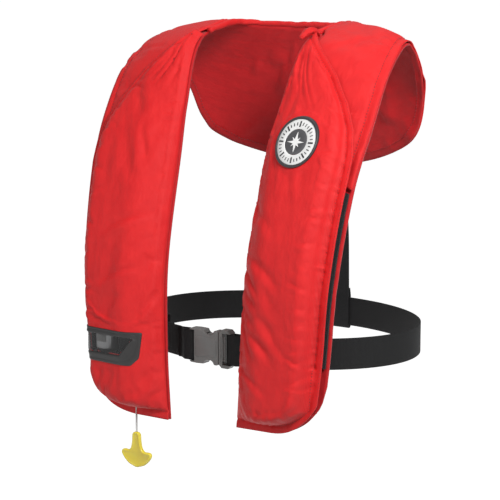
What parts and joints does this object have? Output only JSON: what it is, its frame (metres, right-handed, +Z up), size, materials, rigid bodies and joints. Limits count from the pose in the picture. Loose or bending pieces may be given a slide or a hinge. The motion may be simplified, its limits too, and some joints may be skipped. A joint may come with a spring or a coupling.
{
  "type": "inflatable life jacket",
  "caption": "Horse-collar inflatable life jacket with manual gas inflator, status window, oral tube, webbing belt, side-release buckle and pull tab.",
  "frame": {"origin": "middle of the neck opening, at the height where the collar lies on the wearer's shoulders", "axes": "+Z up, +X the wearer's left, -Y the wearer's front"},
  "size_m": [0.379, 0.3477, 0.5372],
  "materials": {
    "red_fabric": "coated 500 denier nylon, satin",
    "red_lining": "smooth polyester lining",
    "hook_tape": "black hook-and-loop tape",
    "bladder_fabric": "urethane coated nylon, folded",
    "badge_rubber": "moulded soft rubber",
    "badge_print": "pale moulded rubber",
    "black_plastic": "moulded, welded to the cover",
    "clear_window": "clear flexible vinyl",
    "black_webbing": "ribbed polyester webbing",
    "grey_acetal": "moulded acetal, satin",
    "inflator_plastic": "glass-filled nylon",
    "yellow_plastic": "translucent moulded",
    "pin_steel": "stainless",
    "zinc_steel": "zinc plated",
    "seal_rubber": "moulded seal",
    "oral_red": "moulded",
    "white_cord": "braided cord"
  },
  "bodies": {
    "jacket": {"front_cover_left": "red_fabric", "front_cover_right": "red_fabric", "yoke_cover": "red_fabric", "neck_roll": "red_fabric", "body_panel_left": "red_lining", "body_panel_right": "red_lining", "yoke_lining": "red_lining", "closure_tape_left": "hook_tape", "closure_tape_right": "hook_tape", "bladder": "bladder_fabric", "badge_rim": "badge_rubber", "badge_face": "badge_print", "window_frame": "black_plastic", "window_lens": "clear_window", "body_belt": "black_webbing", "strap_right": "black_webbing", "belt_keeper_left": "black_webbing", "belt_keeper_right": "black_webbing", "back_strap": "black_webbing", "buckle_female": "grey_acetal", "inflator_body": "inflator_plastic", "lever_pin": "pin_steel", "gas_cylinder": "zinc_steel", "manifold_stud": "inflator_plastic", "stud_gasket": "seal_rubber", "cap_nut": "pin_steel", "oral_flange": "oral_red", "oral_tube": "oral_red", "oral_valve_body": "inflator_plastic"},
    "insert_half": {"buckle_male": "grey_acetal", "strap_left": "black_webbing"},
    "upper_latch": {"latch_upper": "grey_acetal"},
    "lower_latch": {"latch_lower": "grey_acetal"},
    "pull_handle": {"pull_cord": "white_cord", "pull_tab": "yellow_plastic"},
    "lever": {"inflator_lever": "yellow_plastic"},
    "dust_cap": {"oral_dust_cap": "oral_red"},
    "valve_stem": {"oral_valve_stem": "inflator_plastic"}
  },
  "joints": [
    {"name": "buckle_release", "type": "slide", "parent": "jacket", "child": "insert_half", "axis": [1, 0, 0], "range_m": [0, 0.03]},
    {"name": "upper_squeeze", "type": "hinge", "parent": "insert_half", "child": "upper_latch", "pos_m": [0.003, -0.139, -0.3505], "axis": [0, -1, 0], "range_deg": [0, 7], "stiffness_Nm_per_rad": 0.1},
    {"name": "lower_squeeze", "type": "hinge", "parent": "insert_half", "child": "lower_latch", "pos_m": [0.003, -0.139, -0.3755], "axis": [0, 1, 0], "range_deg": [0, 7], "stiffness_Nm_per_rad": 0.1},
    {"name": "cord_pull", "type": "slide", "parent": "jacket", "child": "pull_handle", "axis": [0, 0, -1], "range_m": [0, 0.034]},
    {"name": "lever_swing", "type": "hinge", "parent": "jacket", "child": "lever", "pos_m": [-0.1155, -0.18, -0.385], "axis": [0, 1, 0], "range_deg": [0, 96]},
    {"name": "cap_pull", "type": "slide", "parent": "jacket", "child": "dust_cap", "axis": [0, 0, 1], "range_m": [0, 0.02]},
    {"name": "valve_press", "type": "slide", "parent": "jacket", "child": "valve_stem", "axis": [0, 0, -1], "range_m": [0, 0.0025], "stiffness_N_per_m": 200}
  ],
  "couplings": [
    {"joint": "lever_swing", "follows": "cord_pull", "rad_per_m": 48},
    {"joint": "lower_squeeze", "follows": "upper_squeeze", "ratio": 1}
  ]
}
